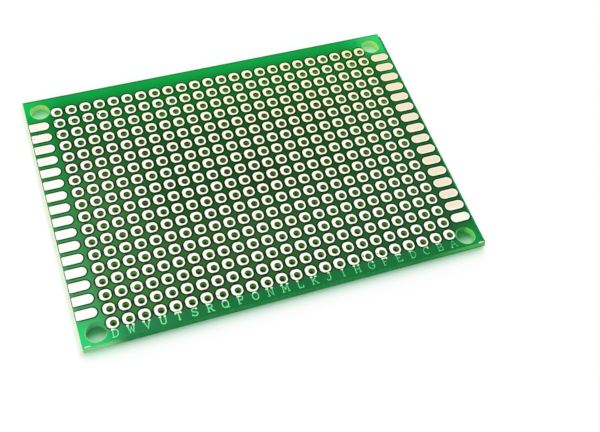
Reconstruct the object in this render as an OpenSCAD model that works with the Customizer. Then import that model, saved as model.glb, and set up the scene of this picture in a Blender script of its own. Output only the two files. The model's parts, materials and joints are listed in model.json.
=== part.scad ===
// Prototype board, single-sided: round solder pads on a square grid, a row of
// oblong pads along each end and a mounting hole beside each corner pad.
//
// The origin is the centre of the underside. X runs along the board, Y across
// it and Z up through it, so the pads face up. Everything is in millimetres.

/* [Pad grid] */
// Distance between neighbouring pads, along and across
pitch = 2.54; // [2.45:0.01:5.08]
// Number of columns, lettered from the right-hand end
columns = 24; // [2:1:40]
// Number of rows
rows = 18; // [3:1:40]
// Diameter of a round pad
pad_d = 2.1; // [1.6:0.05:2.2]
// Diameter of a lead hole
lead_hole_d = 1; // [0.7:0.05:1.2]

/* [Board] */
// Bare length beyond the end columns, from pad centre to snapped edge
end_margin = 5.64; // [5.5:0.01:12]
// Bare width beyond the end rows, from pad centre to snapped edge
side_margin = 3.56; // [3.3:0.01:10]
// Finished thickness over both coats of mask
board_t = 1.6; // [0.8:0.1:3.2]

/* [Scored edges] */
// Depth of the V cut along each face before the boards are snapped apart
score_depth = 0.5; // [0.1:0.05:0.6]
// Full angle of the V
score_angle = 60; // [20:1:80]

/* [Solder mask] */
// Thickness of each coat
mask_t = 0.03; // [0.02:0.005:0.06]
// Bare ring between a pad and the mask around it
pad_relief = 0.1; // [0.04:0.01:0.12]
// Bare ring between a hole and the mask around it
hole_relief = 0.08; // [0.04:0.01:0.15]

/* [Tinned copper] */
// Height of a pad at its rim, above the laminate
rim_h = 0.045; // [0.03:0.005:0.07]
// How far the solder stands above the rim
crown_h = 0.025; // [0.015:0.005:0.05]
// Width of the rounded shoulder where the solder runs down to the rim
shoulder_w = 0.15; // [0.08:0.01:0.2]
// Width of the rounded lip where the solder runs down into a lead hole
lip_w = 0.08; // [0.04:0.01:0.12]

/* [Oblong end pads] */
// Width of an end pad
end_pad_w = 1.72; // [1:0.02:2.1]
// Gap between an end pad and the face's edge
end_pad_edge_gap = 0.12; // [0.05:0.01:0.4]
// Gap between a right-hand end pad and the round pads
end_pad_grid_gap = 0.63; // [0.3:0.01:1.5]
// How much further out the left-hand pads start
left_pads_out = 0.15; // [0:0.01:0.5]
// How much of a left-hand pad's outer end the edge trims away
left_pads_trim = 0.5; // [0.1:0.05:0.8]
// How far the right-hand pads sit above their rows
right_pads_up = 0.24; // [0:0.01:0.4]
// How far the left-hand pads sit above their rows
left_pads_up = 0.06; // [0:0.01:0.4]

/* [Mounting holes] */
// Diameter of a mounting hole
mount_d = 3.3; // [2.2:0.1:4.2]
// Gap between a mounting hole and the corner pad beside it
mount_pad_gap = 0.235; // [0.19:0.005:0.6]
// Direction from the corner pad to the hole, up from the long axis
mount_bearing = 18; // [10:1:30]

/* [Registration] */
// How far the artwork sits right of the board's centre
artwork_x = 0.03; // [-0.3:0.01:0.3]
// How far the artwork sits above the board's centre
artwork_y = -0.29; // [-0.4:0.01:0.4]
// How far the lead holes are drilled right of their pads' centres
drill_x = 0.155; // [-0.2:0.005:0.2]
// How far the lead holes are drilled above their pads' centres
drill_y = -0.085; // [-0.2:0.005:0.2]

/* [Corner marks] */
// Length of the dash at each near corner
mark_l = 1; // [0.5:0.05:1.5]
// Width of the dash that the score has left
mark_w = 0.14; // [0.08:0.01:0.3]
// Distance of the left dash from the face's corner; the right one reaches it
left_mark_inset = 0.3; // [0:0.05:1]

/* [Hidden] */
$fn = 48;

// Size of the whole board, over the webs that stand out at mid-thickness
board_l = (columns - 1) * pitch + 2 * end_margin;
board_w = (rows - 1) * pitch + 2 * side_margin;

// The score takes this much off each face, so both faces are smaller
score_run = score_depth * tan(score_angle / 2);
face_l = board_l - 2 * score_run;
face_w = board_w - 2 * score_run;

// Heights of the laminate between its coats
laminate_t = board_t - 2 * mask_t;
laminate_top = mask_t + laminate_t;

// Centre of the corner pad, from the middle of the artwork
grid_x = (columns - 1) * pitch / 2;
grid_y = (rows - 1) * pitch / 2;

// Centre of a mounting hole, from the middle of the artwork
mount_reach = (mount_d + pad_d) / 2 + mount_pad_gap;
mount_x = grid_x + mount_reach * cos(mount_bearing);
mount_y = grid_y + mount_reach * sin(mount_bearing);

// Height of a tinned pad
pad_h = rim_h + crown_h;

// Narrowest ring of solder that an off-centre lead hole leaves on its pad. It
// limits the rounding at both of its edges, so that some flat stays between.
ring_w = (pad_d - lead_hole_d) / 2 - norm([drill_x, drill_y]);
ring_shoulder_w = min(shoulder_w, ring_w / 2);
ring_lip_w = min(lip_w, ring_w / 4);

// Where the end pads start and stop, from the middle of the artwork
end_pad_outer = face_l / 2 - end_pad_edge_gap;
end_pad_inner = grid_x + pad_d / 2 + end_pad_grid_gap;

// Cuts run past the faces by this much, so that no skin is left
over = 0.5;

// Column a is at the right-hand end; the 27th column would be aa
function column_name(c) = str("pads_column_", c < 26 ? chr(97 + c) : str("a", chr(97 + c - 26)));

// Radius of an arc that leaves the flat solder level and falls by crown_h
// over the width given
function fall_r(width) = (pow(width, 2) + pow(crown_h, 2)) / (2 * crown_h);

// Centre of a pad, from the middle of the artwork; row 0 is the far one
function column_x(c) = grid_x - c * pitch;
function row_y(r) = grid_y - r * pitch;

// Moves the artwork to its place on the board, at the height given
module on_artwork(z = 0) {
    translate([artwork_x, artwork_y, z]) children();
}

// Repeats a shape at every lead hole
module at_lead_holes() {
    for (c = [0 : columns - 1], r = [0 : rows - 1])
        translate([column_x(c) + drill_x, row_y(r) + drill_y]) children();
}

// Repeats a shape at every round pad
module at_round_pads() {
    for (c = [0 : columns - 1], r = [0 : rows - 1])
        translate([column_x(c), row_y(r)]) children();
}

// Repeats a shape at the four mounting holes
module at_mounting_holes() {
    for (sx = [-1, 1], sy = [-1, 1])
        translate([sx * mount_x, sy * mount_y]) children();
}

// Repeats an end pad beside every row but the first and the last, each pad
// a little above its row. The pad is drawn out along X from the middle.
module at_end_rows(up) {
    for (r = [1 : rows - 2]) translate([0, row_y(r) + up]) children();
}

// Flat oblong with round ends, from x = inner to x = outer
module oblong(inner, outer, width) {
    for (x = [inner + width / 2, outer - width / 2])
        translate([x, 0]) circle(d = width);
    translate([inner + width / 2, -width / 2]) square([outer - inner - width, width]);
}

// Half the section of a tinned pad: flat solder that rounds down to the rim
module bead_half(width, shoulder = shoulder_w) {
    flat = width / 2 - shoulder;
    square([flat, pad_h]);
    intersection() {
        translate([flat, 0]) square([shoulder, pad_h]);
        translate([flat, pad_h - fall_r(shoulder)]) circle(fall_r(shoulder), $fn = 144);
    }
}

module bead_section(width) {
    bead_half(width);
    mirror([1, 0]) bead_half(width);
}

// Oblong tinned pad with round ends, from x = inner to x = outer
module oblong_bead(inner, outer, width) {
    left = inner + width / 2;
    right = outer - width / 2;
    translate([left, 0]) rotate([0, 0, 90]) rotate_extrude(angle = 180) bead_half(width);
    translate([right, 0]) rotate([0, 0, -90]) rotate_extrude(angle = 180) bead_half(width);
    translate([left, 0]) rotate([90, 0, 90]) linear_extrude(right - left) bead_section(width);
}

// Solid with a board's outline whose edges are scored along both faces
module scored_bar(length, width, height) {
    rotate([90, 0, 90]) linear_extrude(length, center = true) polygon([
        [score_run - width / 2, 0],
        [width / 2 - score_run, 0],
        [width / 2, score_depth],
        [width / 2, height - score_depth],
        [width / 2 - score_run, height],
        [score_run - width / 2, height],
        [-width / 2, height - score_depth],
        [-width / 2, score_depth]
    ]);
}

// Bare board: scored and snapped on all four sides, then drilled
module laminate() {
    color([0.86, 0.88, 0.66]) difference() {
        translate([0, 0, mask_t]) intersection() {
            scored_bar(board_l + 2 * over, board_w, laminate_t);
            rotate([0, 0, 90]) scored_bar(board_w + 2 * over, board_l, laminate_t);
        }
        on_artwork(-over) {
            at_lead_holes() cylinder(d = lead_hole_d, h = board_t + 2 * over);
            at_mounting_holes() cylinder(d = mount_d, h = board_t + 2 * over);
        }
    }
}

// Upper coat, open round every pad, corner mark and mounting hole
module mask_top() {
    color([0.05, 0.5, 0.22]) translate([0, 0, laminate_top]) linear_extrude(mask_t) difference() {
        square([face_l, face_w], center = true);
        on_artwork() {
            at_round_pads() circle(d = pad_d + 2 * pad_relief);
            at_mounting_holes() circle(d = mount_d + 2 * hole_relief);
        }
        right_pad_openings();
        left_pad_openings();
        mark_openings();
    }
}

module right_pad_openings() {
    on_artwork() at_end_rows(right_pads_up) oblong(
        end_pad_inner - pad_relief,
        end_pad_outer - artwork_x + pad_relief / 2,
        end_pad_w + 2 * pad_relief
    );
}

// The left-hand openings are cut square where the edge trims their pads
module left_pad_openings() {
    intersection() {
        on_artwork() mirror([1, 0]) at_end_rows(left_pads_up) oblong(
            end_pad_inner + left_pads_out - pad_relief,
            end_pad_outer + artwork_x + left_pads_trim + pad_relief,
            end_pad_w + 2 * pad_relief
        );
        square([2 * end_pad_outer + pad_relief, board_w], center = true);
    }
}

module mark_openings() {
    for (side = [-1, 1]) offset_mark(side, pad_relief / 2);
}

// One corner mark's outline, grown by a margin; side is -1 left, 1 right.
// Both marks lie along the near edge of the face, where the score cut them.
module offset_mark(side, margin) {
    inset = side < 0 ? left_mark_inset : 0;
    translate([side * (face_l / 2 - inset - mark_l / 2), (mark_w - face_w) / 2])
        square([mark_l + 2 * margin, mark_w + 2 * margin], center = true);
}

// Lower coat, open round every hole
module mask_bottom() {
    color([0.05, 0.45, 0.2]) linear_extrude(mask_t) difference() {
        square([face_l, face_w], center = true);
        on_artwork() {
            at_lead_holes() circle(d = lead_hole_d + 2 * hole_relief);
            at_mounting_holes() circle(d = mount_d + 2 * hole_relief);
        }
    }
}

// One column of tinned round pads, each drilled a little off its centre
module pads_column(c) {
    color([0.93, 0.92, 0.86]) on_artwork(laminate_top)
        for (r = [0 : rows - 1]) translate([column_x(c), row_y(r)]) round_pad();
}

module round_pad() {
    difference() {
        rotate_extrude() bead_half(pad_d, ring_shoulder_w);
        translate([drill_x, drill_y]) rotate_extrude() drilled_half();
    }
}

// Half the section of a lead hole: straight up to the rim's height, then wider
// where the solder rounds over its edge
module drilled_half() {
    wide = lead_hole_d / 2 + ring_lip_w;
    translate([0, -over]) square([lead_hole_d / 2, pad_h + 2 * over]);
    difference() {
        translate([0, rim_h]) square([wide, crown_h + over]);
        translate([wide, pad_h - fall_r(ring_lip_w)]) circle(fall_r(ring_lip_w), $fn = 144);
    }
}

// Oblong pads along the right-hand end
module end_pads_right() {
    color([0.93, 0.88, 0.78]) on_artwork(laminate_top) at_end_rows(right_pads_up)
        oblong_bead(end_pad_inner, end_pad_outer - artwork_x, end_pad_w);
}

// Oblong pads along the left-hand end, trimmed square by the edge
module end_pads_left() {
    color([0.93, 0.92, 0.86]) intersection() {
        on_artwork(laminate_top) mirror([1, 0]) at_end_rows(left_pads_up) oblong_bead(
            end_pad_inner + left_pads_out,
            end_pad_outer + artwork_x + left_pads_trim,
            end_pad_w
        );
        translate([0, 0, laminate_top])
            cube([2 * end_pad_outer, board_w, 4 * pad_h], center = true);
    }
}

// What the score left of the outline's corners: two tinned dashes
module corner_marks() {
    color([0.93, 0.92, 0.86]) translate([0, 0, laminate_top]) linear_extrude(rim_h)
        for (side = [-1, 1]) offset_mark(side, 0);
}

laminate();
mask_top();
mask_bottom();
for (c = [0 : columns - 1])
    pads_column(c);
end_pads_left();
end_pads_right();
corner_marks();
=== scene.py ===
"""Finish of a single-sided prototype board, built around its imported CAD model.

The CAD nodes keep their shapes and get their materials here: two coats of green solder mask,
glass-epoxy laminate that lets light through, and tinned copper. The new pieces are what the
construction leaves out: the index letters etched in the copper, the white print on the
underside, the glass torn loose where the board was snapped from its panel, and a few traces
of handling.

Shapes are worked out in millimetres and turned to metres where their mesh is made.
"""
import json
import logging
import math
from dataclasses import dataclass, field
from enum import Enum
from typing import Iterable, Sequence

import bpy
import numpy as np
from mathutils import Matrix, Vector


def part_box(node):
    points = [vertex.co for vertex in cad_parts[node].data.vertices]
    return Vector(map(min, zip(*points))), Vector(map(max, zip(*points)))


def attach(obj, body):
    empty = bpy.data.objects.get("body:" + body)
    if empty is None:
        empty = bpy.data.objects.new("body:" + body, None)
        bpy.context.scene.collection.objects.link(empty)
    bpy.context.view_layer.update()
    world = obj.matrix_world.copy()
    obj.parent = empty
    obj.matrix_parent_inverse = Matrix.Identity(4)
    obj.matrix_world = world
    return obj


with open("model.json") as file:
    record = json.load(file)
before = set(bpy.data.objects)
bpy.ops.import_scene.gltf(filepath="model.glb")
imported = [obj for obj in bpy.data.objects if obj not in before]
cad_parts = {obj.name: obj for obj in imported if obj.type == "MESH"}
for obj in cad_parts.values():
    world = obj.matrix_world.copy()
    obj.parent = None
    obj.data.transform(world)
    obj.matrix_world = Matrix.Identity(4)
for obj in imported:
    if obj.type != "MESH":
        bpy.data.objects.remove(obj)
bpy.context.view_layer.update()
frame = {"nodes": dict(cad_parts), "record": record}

MM = 0.001
BODY = "root"

LOG = logging.getLogger("prototype_board")

Colour = tuple[float, float, float]
Socket = bpy.types.NodeSocket
Value = Socket | float
Paint = Socket | Colour
# A value, where a rise along it starts, where it is full and, unless that is 1, its top
Ramp = tuple[Value, float, float] | tuple[Value, float, float, float]
# Where a rise starts and where it is full, along an axis or measured from a place
Span = tuple[float, float]


def tone(red: int, green: int, blue: int) -> Colour:
    """Turns a display colour, 0 to 255 a channel, into linear light.

    Args:
        red: Red on the display's scale.
        green: Green on the display's scale.
        blue: Blue on the display's scale.

    Returns:
        The three channels as linear light, 0 to 1.
    """
    display = np.array([red, green, blue]) / 255
    linear = np.where(display <= 0.04045, display / 12.92, ((display + 0.055) / 1.055) ** 2.4)
    return tuple(float(channel) for channel in linear)


# ---------------------------------------------------------------------------------------------
# The board's own sizes
# ---------------------------------------------------------------------------------------------


class Side(Enum):
    """The board's four sides, each as the direction that it faces."""

    LEFT = (-1, 0)
    RIGHT = (1, 0)
    NEAR = (0, -1)
    FAR = (0, 1)


@dataclass(frozen=True)
class Board:
    """Sizes and places in millimetres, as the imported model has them."""

    web_x: float
    web_y: float
    face_x: float
    face_y: float
    art_x: float
    art_y: float
    pitch: float
    grid_x: float
    grid_y: float
    columns: int
    rows: int
    pad_r: float
    mount_x: float
    mount_y: float
    mount_r: float
    drill_x: float
    drill_y: float
    drill_r: float
    laminate_low: float
    laminate_high: float
    mask_high: float

    @classmethod
    def from_frame(cls, record: dict) -> "Board":
        """Reads the sizes off the CAD nodes' boxes and the record's mounts.

        Args:
            record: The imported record.

        Returns:
            The board's sizes.
        """
        names = sorted(name for name in frame["nodes"] if name.startswith("pads_column_"))
        first_low, first_high = (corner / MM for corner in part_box(names[0]))
        last_low, _ = (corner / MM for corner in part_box(names[-1]))
        laminate_low, laminate_high = (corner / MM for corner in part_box("laminate"))
        _, mask_high = (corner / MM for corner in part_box("mask_top"))
        mounts = {mount["name"]: mount for mount in record["mounts"]}
        pitch = mounts["lead_grid"]["dims"]["spacing_x_mm"]
        holes = mounts["mounting_holes"]["dims"]
        drilled = mounts["lead_grid"]
        pad_d = first_high.x - first_low.x
        grid_y = (first_high.y - first_low.y - pad_d) / 2
        art_x = (first_high.x + last_low.x) / 2
        art_y = (first_high.y + first_low.y) / 2
        return cls(
            web_x=laminate_high.x,
            web_y=laminate_high.y,
            face_x=mask_high.x,
            face_y=mask_high.y,
            art_x=art_x,
            art_y=art_y,
            pitch=pitch,
            grid_x=(first_high.x - last_low.x - pad_d) / 2,
            grid_y=grid_y,
            columns=len(names),
            rows=round(2 * grid_y / pitch) + 1,
            pad_r=pad_d / 2,
            mount_x=holes["spacing_x_mm"] / 2,
            mount_y=holes["spacing_y_mm"] / 2,
            mount_r=holes["hole_r_mm"],
            drill_x=drilled["pos_m"][0] / MM - art_x,
            drill_y=drilled["pos_m"][1] / MM - art_y,
            drill_r=drilled["dims"]["hole_r_mm"],
            laminate_low=laminate_low.z,
            laminate_high=laminate_high.z,
            mask_high=mask_high.z,
        )

    def column_x(self, column: float) -> float:
        """Gives the place along X of a column; column 0 is at the right-hand end."""
        return self.art_x + self.grid_x - column * self.pitch

    def row_y(self, row: float) -> float:
        """Gives the place along Y of a row; row 0 is the far one."""
        return self.art_y + self.grid_y - row * self.pitch


# ---------------------------------------------------------------------------------------------
# Shells: closed surfaces made of rings of points
# ---------------------------------------------------------------------------------------------


@dataclass
class Shell:
    """Points in millimetres, and arrays of faces that all have the same number of corners."""

    points: np.ndarray
    faces: list[np.ndarray]

    @classmethod
    def tubes(cls, rings: np.ndarray) -> "Shell":
        """Joins rings of points into tubes and closes both ends of each.

        A tube's faces run from each ring to the next, and its ends are flat. Faces point
        outwards where the rings turn anticlockwise about the way from the first to the last.

        Args:
            rings: Points of shape (tubes, stations, around, 3).

        Returns:
            The tubes as one shell.
        """
        count, stations, around, _ = rings.shape
        index = np.arange(count * stations * around).reshape(count, stations, around)
        ahead = np.roll(index, -1, axis=2)
        walls = np.stack([index[:, :-1], ahead[:, :-1], ahead[:, 1:], index[:, 1:]], axis=-1)
        starts = index[:, 0, ::-1]
        ends = index[:, -1, :]
        return cls(rings.reshape(-1, 3), [walls.reshape(-1, 4), np.concatenate([starts, ends])])

    @classmethod
    def joined(cls, shells: Iterable["Shell"]) -> "Shell":
        """Puts several shells in one, with each one's faces counted on from the last."""
        points: list[np.ndarray] = []
        faces: list[np.ndarray] = []
        offset = 0
        for shell in shells:
            points.append(shell.points)
            faces.extend(block + offset for block in shell.faces)
            offset += len(shell.points)
        return cls(np.concatenate(points), faces)

    def mesh(self, name: str, sharp_angle: float) -> bpy.types.Mesh:
        """Turns the shell into a mesh in metres.

        Args:
            name: The mesh's name.
            sharp_angle: Edges that turn by more than this many degrees stay sharp.

        Returns:
            The mesh, shaded smooth between its sharp edges.
        """
        mesh = bpy.data.meshes.new(name)
        sizes = np.concatenate([np.full(len(block), block.shape[1]) for block in self.faces])
        corners = np.concatenate([block.ravel() for block in self.faces])
        mesh.vertices.add(len(self.points))
        mesh.vertices.foreach_set("co", (self.points * MM).ravel())
        mesh.loops.add(len(corners))
        mesh.loops.foreach_set("vertex_index", corners)
        mesh.polygons.add(len(sizes))
        mesh.polygons.foreach_set("loop_start", np.cumsum(sizes) - sizes)
        mesh.update(calc_edges=True)
        mesh.validate()
        mesh.shade_smooth()
        mesh.set_sharp_from_angle(angle=math.radians(sharp_angle))
        return mesh


# How much longer than its profile a bar's mitre may be
MOST_MITRE = 2
# Where a ridge's shoulder is, as a share of its height and of its width, and its top's width
SHOULDER_HIGH = 0.65
SHOULDER_WIDE = 0.94
TOP_WIDE = 0.66


def swept(path: np.ndarray, profile: np.ndarray) -> Shell:
    """Carries a closed profile along a path in the board's plane.

    At each station the profile's first number goes along the path's left-hand normal,
    lengthened by the mitre at that corner, and its second number goes up Z.

    Args:
        path: Points (x, y) in millimetres.
        profile: Points (left, height), anticlockwise seen from the path's end.

    Returns:
        A bar with flat ends.
    """
    steps = np.diff(path, axis=0)
    steps /= np.linalg.norm(steps, axis=1, keepdims=True)
    before = np.vstack([steps[:1], steps])
    after = np.vstack([steps, steps[-1:]])
    along = before + after
    along /= np.linalg.norm(along, axis=1, keepdims=True)
    mitre = 1 / np.clip(np.sum(along * after, axis=1, keepdims=True), 1 / MOST_MITRE, 1)
    left = np.column_stack([-along[:, 1], along[:, 0]]) * mitre
    flat = path[:, None, :] + left[:, None, :] * profile[None, :, :1]
    height = np.broadcast_to(profile[None, :, 1:], flat.shape[:2] + (1,))
    return Shell.tubes(np.concatenate([flat, height], axis=2)[None])


def ridge(width: float, low: float, high: float) -> np.ndarray:
    """Gives the profile of a low bar with rounded upper edges.

    Args:
        width: Width of the bar at its foot.
        low: Height of its foot.
        high: Height of its top.

    Returns:
        Points (left, height) for swept().
    """
    half = width / 2
    shoulder = low + SHOULDER_HIGH * (high - low)
    right = np.array([[half, low], [SHOULDER_WIDE * half, shoulder], [TOP_WIDE * half, high]])
    return np.vstack([right, right[::-1] * (-1, 1)])


def smooth_noise(rng: np.random.Generator, shape: tuple[int, int], reach: int) -> np.ndarray:
    """Gives noise from -1 to 1 that changes slowly along its first axis.

    Random values are averaged along the axis under a bell of the given reach, and then
    stretched so that the largest is 1.

    Args:
        rng: Source of the random values.
        shape: Number of stations, and number of points around each.
        reach: Half the bell's width, in stations.

    Returns:
        Values of the given shape.
    """
    bell = np.hanning(2 * reach + 3)[1:-1]
    raw = rng.normal(size=(shape[0] + 2 * reach, shape[1]))
    spread = np.lib.stride_tricks.sliding_window_view(raw, 2 * reach + 1, axis=0)
    values = spread @ bell
    return values / np.abs(values).max()


def add_piece(
    name: str, shell: Shell, material: bpy.types.Material, sharp_angle: float = 40
) -> None:
    """Adds a shell as a piece of the board, at the origin and riding on it.

    Args:
        name: The piece's name.
        shell: Its shape.
        material: Its finish.
        sharp_angle: Edges that turn by more than this many degrees stay sharp.
    """
    piece = bpy.data.objects.new(name, shell.mesh(name, sharp_angle))
    bpy.context.scene.collection.objects.link(piece)
    piece.data.materials.append(material)
    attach(piece, BODY)
    LOG.info("%s: %d faces", name, len(piece.data.polygons))


# ---------------------------------------------------------------------------------------------
# Finishes
# ---------------------------------------------------------------------------------------------


class Graph:
    """A material's nodes. Places are in millimetres from the board's own origin."""

    def __init__(self, name: str) -> None:
        """Starts a material with a principled shader and the point's place in millimetres.

        Args:
            name: The material's name.
        """
        self.material = bpy.data.materials.new(name)
        self.material.use_nodes = True
        self.tree = self.material.node_tree
        self.tree.nodes.clear()
        self.shader = self.tree.nodes.new("ShaderNodeBsdfPrincipled")
        output = self.tree.nodes.new("ShaderNodeOutputMaterial")
        self.tree.links.new(self.shader.outputs["BSDF"], output.inputs["Surface"])
        place = self.tree.nodes.new("ShaderNodeTexCoord").outputs["Object"]
        scale = self.tree.nodes.new("ShaderNodeVectorMath")
        scale.operation = "SCALE"
        scale.inputs["Scale"].default_value = 1 / MM
        self.tree.links.new(place, scale.inputs[0])
        self.place = scale.outputs["Vector"]
        split = self.tree.nodes.new("ShaderNodeSeparateXYZ")
        self.tree.links.new(self.place, split.inputs[0])
        self.x, self.y, self.z = split.outputs

    def put(self, socket: Socket, value: Value | Colour) -> None:
        """Links a socket to a value, or sets it where the value is a constant."""
        if isinstance(value, bpy.types.NodeSocket):
            self.tree.links.new(value, socket)
        elif isinstance(value, tuple):
            socket.default_value = (*value, 1)
        else:
            socket.default_value = value

    def math(self, operation: str, first: Value, second: Value = 0.0) -> Socket:
        """Works out one sum of two values, such as "ADD", "MULTIPLY" or "ABSOLUTE"."""
        node = self.tree.nodes.new("ShaderNodeMath")
        node.operation = operation
        self.put(node.inputs[0], first)
        self.put(node.inputs[1], second)
        return node.outputs[0]

    def times(self, *values: Value) -> Socket:
        """Multiplies two or more values."""
        product = values[0]
        for value in values[1:]:
            product = self.math("MULTIPLY", product, value)
        return product

    def rise(self, value: Value, start: float, end: float, top: float = 1.0) -> Socket:
        """Rises smoothly from 0 at start to top at end; it falls where end is below start.

        Args:
            value: The value that it follows.
            start: Where it leaves 0.
            end: Where it reaches top.
            top: The most that it reaches.

        Returns:
            The eased value.
        """
        node = self.tree.nodes.new("ShaderNodeMapRange")
        node.interpolation_type = "SMOOTHSTEP"
        self.put(node.inputs["Value"], value)
        ends = sorted([(start, 0.0), (end, top)])
        for end_name, (place, amount) in zip(("Min", "Max"), ends):
            node.inputs["From " + end_name].default_value = place
            node.inputs["To " + end_name].default_value = amount
        return node.outputs["Result"]

    def together(self, *ramps: Ramp) -> Socket:
        """Gives the product of the rises along one or more ramps."""
        return self.times(*(self.rise(*ramp) for ramp in ramps))

    def distance(self, x: Value, y: Value, from_x: float, from_y: float) -> Socket:
        """Gives the flat distance from a place, in millimetres."""
        return self.span(self.math("SUBTRACT", x, from_x), self.math("SUBTRACT", y, from_y))

    def to_nearest(self, value: Value, start: float, step: float) -> Socket:
        """Gives the distance to the nearest of places a step apart, one of them at start."""
        return self.math("PINGPONG", self.math("SUBTRACT", value, start), step / 2)

    def away(self, value: Value, middle: float) -> Socket:
        """Gives how far a value is from a place, either way."""
        return self.math("ABSOLUTE", self.math("SUBTRACT", value, middle))

    def beyond(self, value: Value, middle: float, half: float) -> Socket:
        """Gives how far a value lies outside a span, and 0 inside it."""
        return self.math("MAXIMUM", self.math("SUBTRACT", self.away(value, middle), half), 0.0)

    def span(self, first: Value, second: Value) -> Socket:
        """Gives the length of the hypotenuse over two sides."""
        squares = self.math("ADD", self.times(first, first), self.times(second, second))
        return self.math("SQRT", squares)

    def mix(self, amount: Value, under: Paint, over: Paint) -> Socket:
        """Mixes a colour over another by an amount from 0 to 1."""
        node = self.tree.nodes.new("ShaderNodeMix")
        node.data_type = "RGBA"
        factor, first, second = (node.inputs[key] for key in (0, 6, 7))
        self.put(factor, amount)
        self.put(first, under)
        self.put(second, over)
        return node.outputs[2]

    def dim(self, amount: Value, under: Paint, filtered: Paint) -> Socket:
        """Darkens a colour through a filter, by an amount from 0 to 1."""
        result = self.mix(amount, under, filtered)
        result.node.blend_type = "MULTIPLY"
        return result

    def blend(self, under: Paint, over: Paint, *ramps: Ramp) -> Socket:
        """Lays a colour over another, as far as the product of its ramps."""
        return self.mix(self.together(*ramps), under, over)

    def layered(self, under: Paint, *layers: tuple[Paint | Ramp, ...]) -> Paint:
        """Lays colours over one another in order.

        Args:
            under: The lowest colour.
            layers: For each further one, its colour and then its ramps.

        Returns:
            The colour that shows.
        """
        for over, *ramps in layers:
            under = self.blend(under, over, *ramps)
        return under

    def noise(
        self, per_mm: float, detail: float = 3.0, stretch: Sequence[float] = (1, 1, 1)
    ) -> Socket:
        """Gives soft noise around 0.5.

        Args:
            per_mm: How many blotches fit in a millimetre.
            detail: How many finer layers are added.
            stretch: How much finer the noise is along each axis.

        Returns:
            The noise's value.
        """
        mapping = self.tree.nodes.new("ShaderNodeMapping")
        mapping.inputs["Scale"].default_value = [per_mm * share for share in stretch]
        self.tree.links.new(self.place, mapping.inputs["Vector"])
        node = self.tree.nodes.new("ShaderNodeTexNoise")
        node.inputs["Scale"].default_value = 1.0
        node.inputs["Detail"].default_value = detail
        self.tree.links.new(mapping.outputs[0], node.inputs["Vector"])
        return node.outputs["Fac"]

    def surface(
        self, colour: Paint, roughness: Value, metallic: float = 0.0, specular: float = 0.5
    ) -> None:
        """Sets the shader's colour, roughness, metal and specular level."""
        self.put(self.shader.inputs["Base Color"], colour)
        self.put(self.shader.inputs["Roughness"], roughness)
        self.shader.inputs["Metallic"].default_value = metallic
        self.shader.inputs["Specular IOR Level"].default_value = specular

    def bump(self, height: Value, depth: float, strength: float = 1.0) -> None:
        """Adds relief to the shader: height from 0 to 1, at full depth in millimetres."""
        node = self.tree.nodes.new("ShaderNodeBump")
        node.inputs["Strength"].default_value = strength
        node.inputs["Distance"].default_value = depth * MM
        self.put(node.inputs["Height"], height)
        self.tree.links.new(node.outputs["Normal"], self.shader.inputs["Normal"])


# How far from the left-hand face the near side's painted light corner starts, and where it is full
PALE_CORNER: Span = (7.4, 3.6)
# How many times faster a distance grows past the last place of a row or a column
STEEP = 9.0


def past(place: float, span: Span) -> Span:
    """Gives a span that is measured from a place."""
    return place + span[0], place + span[1]


def to_pad(
    graph: Graph, board: Board, right: float = 0.0, up: float = 0.0
) -> tuple[Socket, Socket]:
    """Gives the distances along X and along Y to the nearest round pad's middle.

    Args:
        graph: The material's nodes.
        board: The board's sizes.
        right: How far to the right of the pads' middles the places are.
        up: How far up from the pads' middles the places are.

    Returns:
        The two distances.
    """
    across = graph.to_nearest(graph.x, board.column_x(0) + right, board.pitch)
    return across, graph.to_nearest(graph.y, board.row_y(0) + up, board.pitch)


def from_middle(graph: Graph, board: Board) -> tuple[Socket, Socket]:
    """Gives the distances along X and along Y from the artwork's middle."""
    return graph.away(graph.x, board.art_x), graph.away(graph.y, board.art_y)


def outside_end_pads(graph: Graph, board: Board, name: str) -> Socket:
    """Gives the flat distance from the nearest of one end's pads; it is below 0 on the pad.

    Args:
        graph: The material's nodes.
        board: The board's sizes.
        name: The node of that end's pads.

    Returns:
        Millimetres outside the rounded outline.
    """
    low, high = (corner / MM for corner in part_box(name))
    half = (high.y - low.y - (board.rows - 3) * board.pitch) / 2
    past_last = 0.4
    along = graph.beyond(graph.x, (low.x + high.x) / 2, (high.x - low.x) / 2 - half)
    across = graph.to_nearest(graph.y, high.y - half, board.pitch)
    outside = graph.beyond(graph.y, (low.y + high.y) / 2, (high.y - low.y) / 2 + past_last)
    reach = graph.math("ADD", graph.span(along, across), graph.times(outside, STEEP))
    return graph.math("SUBTRACT", reach, half)


def glossy(graph: Graph, colour: Socket, specular: float) -> bpy.types.Material:
    """Finishes a coat of mask, which has gentle waves and a slightly uneven gloss.

    Args:
        graph: The material's nodes.
        colour: The coat's colour.
        specular: How strongly it mirrors.

    Returns:
        The material.
    """
    graph.surface(colour, graph.rise(graph.noise(1.5), 0.2, 0.8, 0.3), specular=specular)
    graph.bump(graph.noise(2.2, 1.0), 0.006)
    return graph.material


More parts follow.
